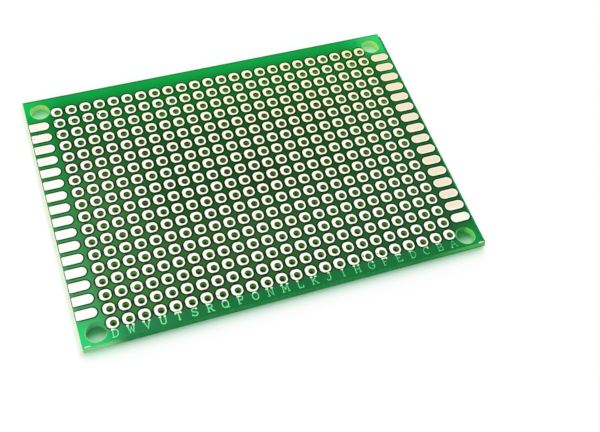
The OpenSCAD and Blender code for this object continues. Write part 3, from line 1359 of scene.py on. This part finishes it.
@dataclass
class UndersidePrint:
    """White screen print on the plain side: counting lines and index letters.

    It reads from below, so its letters are mirrored in the board's own frame.
    """

    board: Board
    line_width: float = 0.25
    ink: float = 0.012
    height: float = 1.25
    stroke: float = 0.19
    sunk: float = 0.002
    crossing_share: float = 0.9
    above_row: float = 1.35
    line_columns: tuple[float, ...] = (1.5, 6.5, 11.5, 16.5, 21.5)
    line_rows: tuple[float, ...] = (3.5, 8.5, 13.5)
    column_letters: str = COLUMN_LETTERS
    row_letters: tuple[tuple[str, float], ...] = (
        ("A", 0.4), ("B", 3.5), ("C", 7.6), ("D", 11.6), ("E", 14.5),
    )

    def counting_lines(self) -> Shell:
        """Makes the lines that mark off every fifth hole."""
        board = self.board
        ends_x = (board.column_x(-0.6), board.column_x(board.columns))
        ends_y = (board.row_y(-0.2), board.row_y(board.rows - 0.4))
        strips = []
        for column in self.line_columns:
            x = board.column_x(column)
            strips.append((line(*((x, y) for y in ends_y)), -self.ink))
        for row in self.line_rows:
            y = board.row_y(row)
            strips.append((line(*((x, y) for x in ends_x)), -self.crossing_share * self.ink))
        return Shell.joined([swept(strip, ridge(self.line_width, low, self.sunk))
                             for strip, low in strips])

    def index_letters(self) -> Shell:
        """Makes the letters over the columns and beside the rows."""
        board = self.board
        lettering = Lettering(self.height, self.stroke, self.sunk, -self.ink, mirrored=True)
        head_y = board.row_y(0) + self.above_row
        side_x = board.column_x(board.columns - 0.25)
        places = [(letter, board.column_x(column), head_y)
                  for column, letter in enumerate(self.column_letters[: board.columns])]
        places += [(letter, side_x, board.row_y(row) - self.height / 2)
                   for letter, row in self.row_letters]
        shells: list[Shell] = []
        for letter, x, foot in places:
            glyph = GLYPHS[letter]
            shells += lettering.bars([*glyph.strokes, *glyph.tops], x, foot)
        return Shell.joined(shells)

    def build(self) -> None:
        """Adds the lines and the letters."""
        ink = Plain("white_ink", tone(244, 248, 242), tone(226, 238, 228), 0.55, 0.3, 1.5, 0.003)
        material = ink.build()
        add_piece("printed_lines", self.counting_lines(), material)
        add_piece("printed_letters", self.index_letters(), material)


# ---------------------------------------------------------------------------------------------
# Snapped sides
# ---------------------------------------------------------------------------------------------


@dataclass(frozen=True)
class TornSide:
    """How the glass tore along one side.

    It stands proud of the web by some, give or take its roughness, and fibres hang from it.
    """

    side: Side
    proud: float
    rough: float
    fibres: int
    longest: float
    seed: int


@dataclass(frozen=True)
class SnappedGlass:
    """Snapped glass-epoxy: painted dark green with shade on the near side, but painted pale with
    light at its left-hand corner.

    On the far and right-hand sides it is painted dark green with shade at the top, where the
    mask overhangs, and pale below.
    """

    board: Board
    green: Colour = tone(20, 136, 66)
    patches: Colour = tone(56, 166, 90)
    pale: Colour = tone(122, 222, 158)
    pale_patches: Colour = tone(182, 238, 192)
    near_left: Colour = tone(150, 226, 160)
    near_y: Span = (0.6, 0.0)
    pale_z: Span = (0.82, 0.76)

    def build(self) -> bpy.types.Material:
        """Builds the material."""
        graph = Graph("snapped_glass")
        x, y, z = graph.x, graph.y, graph.z
        left, near = -self.board.face_x, -self.board.face_y
        patchy = graph.rise(graph.noise(2.0), 0.35, 0.7)
        green = graph.mix(patchy, self.green, self.patches)
        pale = graph.mix(patchy, self.pale, self.pale_patches)
        is_near = graph.rise(y, *past(near, self.near_y))
        corner = graph.times(is_near, graph.rise(x, *past(left, PALE_CORNER)))
        green = graph.mix(corner, green, self.near_left)
        is_other = graph.math("SUBTRACT", 1.0, is_near)
        low = graph.times(graph.rise(z, *self.pale_z), is_other)
        graph.surface(graph.mix(low, green, pale), 0.7, specular=0.0)
        graph.bump(graph.noise(6.0, 4.0), 0.03)
        return graph.material


@dataclass
class SnappedSides:
    """The torn web between the two scores, on all four sides."""

    board: Board
    spacing: float = 0.12
    around: int = 12
    inset: float = 0.1
    taper: float = 0.4
    web_gap: float = 0.25
    web_half: float = 0.3
    coarse_span: int = 9
    fine_span: int = 1
    fibre_gap: float = 0.4
    fibre_root: float = 0.06
    fibre_stations: int = 4
    fibre_heights: tuple[float, float] = (0.42, 1.12)
    fibre_radii: tuple[float, float] = (0.012, 0.03)
    lean: float = 0.7
    climb: float = 0.35
    bend: float = 0.35
    droop: float = 0.3
    sides: tuple[TornSide, ...] = (
        TornSide(Side.LEFT, 0.09, 0.2, 900, 0.3, 3),
        TornSide(Side.RIGHT, 0.38, 0.08, 160, 0.2, 5),
        TornSide(Side.NEAR, 0.02, 0.04, 120, 0.12, 7),
        TornSide(Side.FAR, 0.03, 0.06, 120, 0.12, 9),
    )

    def place(self, side: Side, along: np.ndarray, out: np.ndarray, high: np.ndarray) -> np.ndarray:
        """Turns places along, out of and up a side into points in the board's frame.

        Args:
            side: The side.
            along: Place along it, anticlockwise seen from above, from its middle.
            out: Distance outwards from the snapped web.
            high: Height.

        Returns:
            Points of the arrays' shape with a last axis of 3.
        """
        out_x, out_y = side.value
        reach = self.board.web_x if out_x else self.board.web_y
        x = out_x * (reach + out) - out_y * along
        y = out_y * (reach + out) + out_x * along
        return np.stack(np.broadcast_arrays(x, y, high), axis=-1)

    def half_length(self, side: Side) -> float:
        """Gives half the length of a side's web."""
        return self.board.web_y if side.value[0] else self.board.web_x

    def web(self, torn: TornSide) -> Shell:
        """Makes a side's crumbled web.

        Its section is an oval, centred just inside the web, with a radius that noise changes
        along the side and around the oval. It thins out towards both ends.

        Args:
            torn: How the side tore.

        Returns:
            A closed tube along the side.
        """
        rng = np.random.default_rng(torn.seed)
        half = self.half_length(torn.side) - self.web_gap
        stations = int(2 * half / self.spacing)
        along = np.linspace(-half, half, stations)[:, None]
        angle = np.linspace(0, 2 * math.pi, self.around, endpoint=False)[None, :]
        taper = np.clip((half - np.abs(along)) / self.taper, 0.05, 1) ** 0.5
        coarse = smooth_noise(rng, (stations, self.around), self.coarse_span)
        fine = smooth_noise(rng, (stations, self.around), self.fine_span)
        reach = torn.proud + torn.rough * (0.45 * coarse + 0.4 * fine) + self.inset
        outer = np.where(np.cos(angle) > 0, reach, self.inset)
        out = -self.inset + taper * outer * np.cos(angle)
        middle = (self.board.laminate_low + self.board.laminate_high) / 2
        high = middle + taper * (self.web_half + 0.05 * coarse + 0.04 * fine) * np.sin(angle)
        along = along + 0.03 * fine
        return Shell.tubes(self.place(torn.side, along, out, high)[None])

    def fibres(self, torn: TornSide) -> Shell:
        """Makes a side's torn glass fibres.

        Each is a slender four-sided spike that starts inside the web, leans along the side and
        bends by the square of its length.

        Args:
            torn: How the side tore.

        Returns:
            All the spikes as one shell.
        """
        rng = np.random.default_rng(torn.seed + 100)
        each = (torn.fibres, 1)
        half = self.half_length(torn.side) - self.fibre_gap
        start = rng.uniform(-half, half, each)
        base_high = rng.uniform(*self.fibre_heights, each)
        length = torn.longest * rng.uniform(0.3, 1, each) ** 1.5
        lean = rng.normal(0, self.lean, each)
        climb = rng.normal(0, self.climb, each)
        bend = rng.normal(0, self.bend, each)
        thick = rng.uniform(*self.fibre_radii, each)
        share = np.linspace(0, 1, self.fibre_stations)[None, :]
        along = start + length * (lean * share + bend * share ** 2)
        out = -self.fibre_root + (length + self.fibre_root) * share
        high = base_high + length * (climb * share - self.droop * share ** 2)
        radius = thick * (1 - 0.8 * share)
        angle = np.radians([45, 135, 225, 315])[None, None, :]
        ring_along = along[..., None] + radius[..., None] * np.cos(angle)
        ring_high = high[..., None] + radius[..., None] * np.sin(angle)
        ring_out = np.broadcast_to(out[..., None], ring_along.shape)
        return Shell.tubes(self.place(torn.side, ring_along, ring_out, ring_high))

    def build(self) -> None:
        """Adds the web and the fibres of each side."""
        bright = Plain("torn_glass", tone(252, 255, 238), tone(230, 248, 212), 0.8, 0.1, 3.0, 0.03)
        finish = {Side.LEFT: bright.build()}
        other = SnappedGlass(self.board).build()
        for torn in self.sides:
            name = torn.side.name.lower()
            material = finish.get(torn.side, other)
            add_piece(f"snapped_web_{name}", self.web(torn), material, 60)
            add_piece(f"torn_fibres_{name}", self.fibres(torn), material, 60)


# ---------------------------------------------------------------------------------------------
# Traces of handling
# ---------------------------------------------------------------------------------------------


@dataclass
class HandlingMarks:
    """Specks in the solder and a scratch in the mask."""

    board: Board
    specks: tuple[tuple[str, int, float, float, float], ...] = (
        # Column, row, bearing from the pad's middle, distance from it, length
        ("W", 1, 168, 0.62, 0.2), ("X", 1, 150, 0.84, 0.36), ("V", 1, 170, 0.74, 0.44),
        ("U", 1, 150, 0.72, 0.4), ("X", 2, 165, 0.8, 0.36), ("P", 1, 160, 0.7, 0.24),
        ("C", 0, 150, 0.66, 0.3), ("B", 0, 176, 0.74, 0.2), ("B", 1, 165, 0.7, 0.34),
        ("G", 17, 165, 0.72, 0.42), ("F", 17, 188, 0.72, 0.3), ("V", 15, 180, 0.7, 0.24),
        ("L", 17, 180, 0.72, 0.3), ("R", 17, 165, 0.7, 0.22), ("Q", 17, 190, 0.72, 0.26),
    )
    end_specks: tuple[tuple[float, float, float], ...] = (
        # Place along X and Y, length; on the left-hand end pads
        (-33.3, 17.0, 0.2), (-34.15, 16.3, 0.24), (-34.1, 13.5, 0.14),
    )
    sunk: float = 0.001
    thick: float = 0.006
    longer: float = 1.5
    slimness: float = 0.6
    off_bearing: float = 80
    end_turn: float = 70

    def speck(
        self, x: float, y: float, high: float, length: float, width: float, turn: float
    ) -> Shell:
        """Makes one low speck with a pointed oval outline.

        Args:
            x: The middle's place along X.
            y: The middle's place along Y.
            high: Height of the surface that it lies on.
            length: Its length.
            width: Its width at the middle.
            turn: The way that it points, in degrees.

        Returns:
            A tube that swells from nothing and ends in nothing.
        """
        share = np.linspace(0, 1, 5)[:, None]
        swell = 0.06 + np.sin(math.pi * share)
        angle = np.radians(np.arange(0, 360, 60))[None, :]
        along = length * (share - 0.5) + 0 * angle
        left = swell * width / 2 * np.cos(angle)
        lift = high + swell * self.thick * np.sin(angle)
        cos, sin = math.cos(math.radians(turn)), math.sin(math.radians(turn))
        right, up = x + cos * along - sin * left, y + sin * along + cos * left
        return Shell.tubes(np.stack([right, up, lift], axis=-1)[None])

    def build(self) -> None:
        """Adds the specks and the scratch."""
        board = self.board
        pad_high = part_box("pads_column_a")[1].z / MM
        specks = []
        for letter, row, bearing, distance, length in self.specks:
            angle = math.radians(bearing)
            x = board.column_x(ord(letter) - ord("A")) + distance * math.cos(angle)
            y = board.row_y(row) + distance * math.sin(angle)
            specks.append(self.speck(x, y, pad_high - self.sunk, self.longer * length,
                                     self.slimness * length, bearing - self.off_bearing))
        end_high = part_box("end_pads_left")[1].z / MM
        specks += [self.speck(x, y, end_high - self.sunk, length, self.slimness * length,
                              self.end_turn)
                   for x, y, length in self.end_specks]
        dross = Plain("dross", tone(34, 30, 26), tone(104, 96, 86), 0.7, 0.1, 4.0, 0.004)
        add_piece("solder_specks", Shell.joined(specks), dross.build())
        scratch = self.speck(-22.4, 23.2, board.mask_high, 1.5, 0.07, 118)
        scuff = Plain("scuffed_mask", tone(70, 190, 110), tone(20, 160, 74), 0.6, 0.3, 3.0, 0.003)
        add_piece("mask_scratch", scratch, scuff.build())


# ---------------------------------------------------------------------------------------------
# Studio
# ---------------------------------------------------------------------------------------------


@dataclass(frozen=True)
class View:
    """The camera, by the place that it looks at and the way that it looks."""

    lens: float = 55.365
    azimuth: float = 27.84
    elevation: float = 57.09
    roll: float = 10.18
    distance: float = 157.95
    aim: tuple[float, float] = (5.665, -11.26)

    def build(self, high: float) -> None:
        """Adds the camera.

        Args:
            high: Height of the place that it looks at, in millimetres.
        """
        turns = (self.azimuth, self.elevation, self.roll)
        azimuth, elevation, roll = (math.radians(turn) for turn in turns)
        forward = Vector((
            math.sin(azimuth) * math.cos(elevation),
            math.cos(azimuth) * math.cos(elevation),
            -math.sin(elevation),
        ))
        level = forward.cross(Vector((0, 0, 1))).normalized()
        right = math.cos(roll) * level + math.sin(roll) * level.cross(forward)
        up = right.cross(forward)
        place = Vector((*self.aim, high)) - self.distance * forward
        matrix = Matrix((right, up, -forward)).transposed().to_4x4()
        matrix.translation = place * MM
        data = bpy.data.cameras.new("camera")
        data.lens = self.lens
        data.clip_start = 0.005
        camera = bpy.data.objects.new("camera", data)
        camera.matrix_world = matrix
        bpy.context.scene.collection.objects.link(camera)
        bpy.context.scene.camera = camera


@dataclass(frozen=True)
class Lamp:
    """A soft square lamp that points at the board."""

    name: str
    place: tuple[float, float, float]
    size: float
    share: float

    def build(self) -> None:
        """Adds the lamp, at the power that gives its share of a white surface's light."""
        place = Vector(self.place)
        data = bpy.data.lights.new(self.name, "AREA")
        data.size = self.size
        data.energy = self.share * math.pi ** 2 * place.length_squared
        lamp = bpy.data.objects.new(self.name, data)
        lamp.visible_glossy = False
        lamp.location = place
        lamp.rotation_euler = (-place).to_track_quat("-Z", "Y").to_euler()
        bpy.context.scene.collection.objects.link(lamp)


@dataclass(frozen=True)
class Studio:
    """White floor, white surroundings and two soft lamps.

    The floor under the board is painted green with light that has come through the board,
    most of all on the far side of each mounting hole, and a tinted shadow is painted along
    the near edge.
    """

    board: Board
    ambient: float = 0.62
    floor_half: float = 1.5
    floor_gap: float = 0.016
    lift: float = 0.12
    # Painted light that lifts the board's shadow beside its right-hand side
    lift_right: float = 0.1
    lift_far: float = 0.3
    white: Colour = (0.96, 0.96, 0.96)
    # Painted light and shade on the floor under the board, and a painted shadow along its near edge
    under_board: Colour = (0.52, 0.8, 0.56)
    behind_far_left: Colour = (0.22, 0.62, 0.34)
    behind_far_right: Colour = (0.4, 0.78, 0.5)
    behind_near_holes: Colour = (0.05, 0.34, 0.13)
    near_shadow: Colour = (0.66, 0.84, 0.73)
    left_to_right: Span = (-5, 5)
    near_to_far: Span = (-3, 3)
    near_holes_y: Span = (-0.9, 0.9)
    far_holes_y: Span = (-0.6, 1.2)
    green_inset: float = 1.4
    green_fade: Span = (0.6, 0.0)
    shadow_near_y: Span = (-2.2, 0.2)
    shadow_far_y: Span = (10, 0)
    shadow_inset: float = 2
    shadow_fade: Span = (3, 0)
    lamps: tuple[Lamp, ...] = (
        Lamp("lamp_above", (0.16, 0.22, 0.62), 0.5, 0.26),
        Lamp("lamp_left", (-0.5, -0.1, 0.45), 0.6, 0.22),
    )

    def seen_directly(self, tree: bpy.types.NodeTree) -> Socket:
        """Gives 1 where the camera, a reflection or a refraction looks, and 0 for plain light."""
        rays = tree.nodes.new("ShaderNodeLightPath")
        total = rays.outputs["Is Camera Ray"]
        for name in ("Is Glossy Ray", "Is Transmission Ray"):
            node = tree.nodes.new("ShaderNodeMath")
            node.operation = "MAXIMUM"
            tree.links.new(total, node.inputs[0])
            tree.links.new(rays.outputs[name], node.inputs[1])
            total = node.outputs[0]
        return total

    def surroundings(self) -> None:
        """Sets the world: white where it is seen, and softer as light."""
        world = bpy.data.worlds.new("surroundings")
        world.use_nodes = True
        tree = world.node_tree
        background = tree.nodes["Background"]
        background.inputs["Color"].default_value = (1, 1, 1, 1)
        strength = tree.nodes.new("ShaderNodeMapRange")
        strength.inputs["To Min"].default_value = self.ambient
        strength.inputs["To Max"].default_value = 1.0
        tree.links.new(self.seen_directly(tree), strength.inputs["Value"])
        tree.links.new(strength.outputs["Result"], background.inputs["Strength"])
        bpy.context.scene.world = world

    def floor_colour(self, graph: Graph) -> Socket:
        """Gives the floor's colour: white, with painted light and shade under and beside the board.
        """
        board = self.board
        x, y = graph.x, graph.y
        far_y = board.art_y + board.mount_y
        near_y = board.art_y - board.mount_y
        far = graph.blend(self.behind_far_left, self.behind_far_right, (x, *self.left_to_right))
        green = graph.layered(
            self.under_board,
            (self.behind_near_holes, (y, *past(near_y, self.near_holes_y))),
            (self.under_board, (y, *self.near_to_far)),
            (far, (y, *past(far_y, self.far_holes_y))),
        )
        beside = graph.beyond(x, 0.0, board.web_x - self.shadow_inset)
        outside = graph.span(graph.beyond(x, 0.0, board.web_x - self.green_inset),
                             graph.beyond(y, 0.0, board.web_y - self.green_inset))
        shadow = (
            (y, *past(-board.web_y, self.shadow_near_y)),
            (y, *self.shadow_far_y),
            (beside, *self.shadow_fade),
        )
        return graph.layered(
            self.white, (self.near_shadow, *shadow), (green, (outside, *self.green_fade))
        )

    def floor_lift(self, graph: Graph) -> Socket:
        """Gives the floor's light: painted light lifting the board's shadow beside it, more far off.
        """
        board = self.board
        x, y = graph.x, graph.y
        # Painted light beside the right-hand side that lifts the board's shadow there
        beside = graph.together(
            (x, board.web_x - 0.4, board.web_x + 0.2, self.lift_right),
            (x, board.web_x + 9, board.web_x + 1),
            (graph.math("ABSOLUTE", y), board.web_y + 9, board.web_y - 3),
        )
        far_off = graph.rise(graph.distance(x, y, 0.0, 0.0), 90, 500, self.lift_far)
        lift = graph.math("ADD", graph.math("ADD", beside, far_off), self.lift)
        return graph.times(self.seen_directly(graph.tree), lift)

    def floor(self) -> None:
        """Adds the floor: matt white, lifted just to white where it is seen unshadowed."""
        half = self.floor_half / MM
        corners = [[-half, -half], [half, -half], [half, half], [-half, half]]
        points = np.column_stack([np.array(corners), np.full(4, -self.floor_gap)])
        mesh = Shell(points, [np.array([[0, 1, 2, 3]])]).mesh("floor", 40)
        floor = bpy.data.objects.new("floor", mesh)
        bpy.context.scene.collection.objects.link(floor)
        graph = Graph("studio_white")
        colour = self.floor_colour(graph)
        graph.surface(colour, 1.0, specular=0.0)
        graph.put(graph.shader.inputs["Emission Color"], colour)
        graph.put(graph.shader.inputs["Emission Strength"], self.floor_lift(graph))
        floor.data.materials.append(graph.material)

    def build(self, view: View, high: float) -> None:
        """Adds the floor, the surroundings, the lamps and the camera."""
        self.floor()
        self.surroundings()
        for lamp in self.lamps:
            lamp.build()
        view.build(high)
        bpy.context.scene.view_settings.view_transform = "Standard"


# ---------------------------------------------------------------------------------------------
# Assembly
# ---------------------------------------------------------------------------------------------


@dataclass
class CadFinishes:
    """Gives every CAD node its material."""

    board: Board
    dressed: dict[str, bpy.types.Material] = field(default_factory=dict)

    def build(self) -> None:
        """Builds the materials and puts each on its nodes."""
        board = self.board
        rim_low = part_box("corner_marks")[1].z / MM
        tin = Tin("tinned_pads", board, rim_low).build()
        self.dressed = {
            "laminate": Laminate(board).build(),
            "mask_top": UpperMask(board).build(),
            "mask_bottom": LowerMask(board).build(),
            "end_pads_left": Tin("tinned_left_end", board, rim_low, "end_pads_left").build(),
            "end_pads_right": Tin("tinned_right_end", board, rim_low, "end_pads_right").build(),
            "corner_marks": Plain("tinned_marks", tone(255, 255, 252), tone(246, 255, 238), 0.35,
                                  metallic=1.0).build(),
        }
        for name, node in frame["nodes"].items():
            material = self.dressed.get(name, tin)
            node.data.materials.clear()
            node.data.materials.append(material)
            LOG.info("%s: %s", name, material.name)


def main() -> None:
    """Dresses the board, adds its new pieces and sets up the studio."""
    logging.basicConfig(level=logging.INFO, format="%(name)s: %(message)s")
    board = Board.from_frame(frame["record"])
    CadFinishes(board).build()
    for assembly in (CopperIndex, UndersidePrint, SnappedSides, HandlingMarks):
        assembly(board).build()
    Studio(board).build(View(), board.mask_high)
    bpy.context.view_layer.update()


if __name__ == "__main__":
    main()
